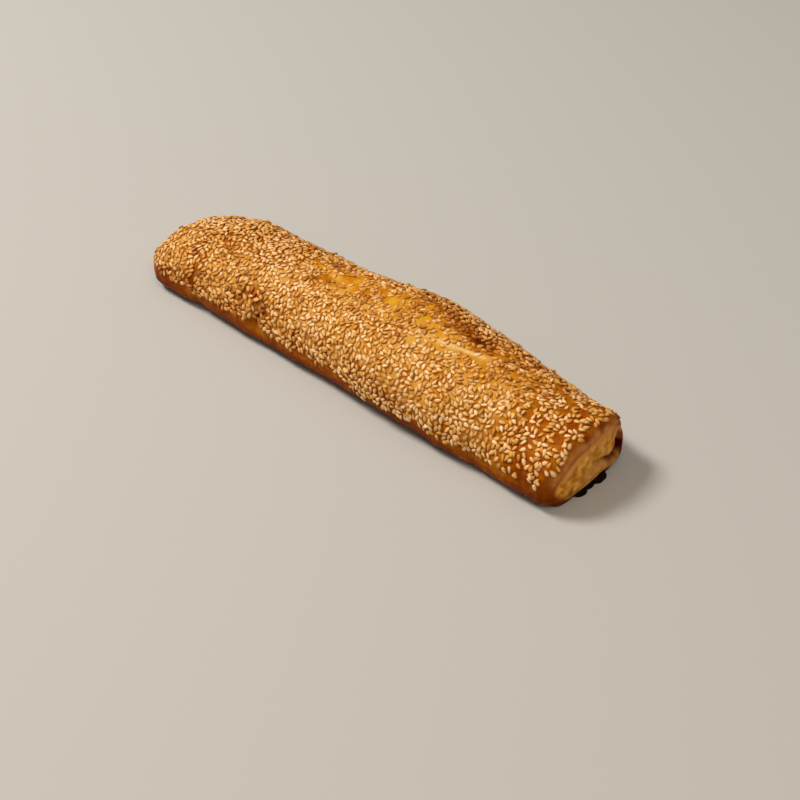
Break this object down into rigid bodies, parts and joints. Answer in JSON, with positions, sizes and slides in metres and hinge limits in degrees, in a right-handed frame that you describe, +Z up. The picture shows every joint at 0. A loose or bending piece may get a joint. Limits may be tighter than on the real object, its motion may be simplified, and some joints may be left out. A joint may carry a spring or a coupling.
{
  "type": "sesame roll",
  "caption": "Long baked bread roll with folded ends, a stretched crown and sesame seeds over its top and sides, lying flat on its underside",
  "frame": {"origin": "under the middle of the roll's box, on the surface that it rests on", "axes": "+X runs along the roll to the end whose fold gapes, +Z is up, and -Y is its straighter side"},
  "size_m": [0.2792, 0.0738, 0.0421],
  "materials": {
    "crust": "baked golden-brown crust, slightly glossy from egg wash, sown with toasted sesame seeds"
  },
  "bodies": {
    "root": {"roll": "crust"}
  },
  "joints": []
}
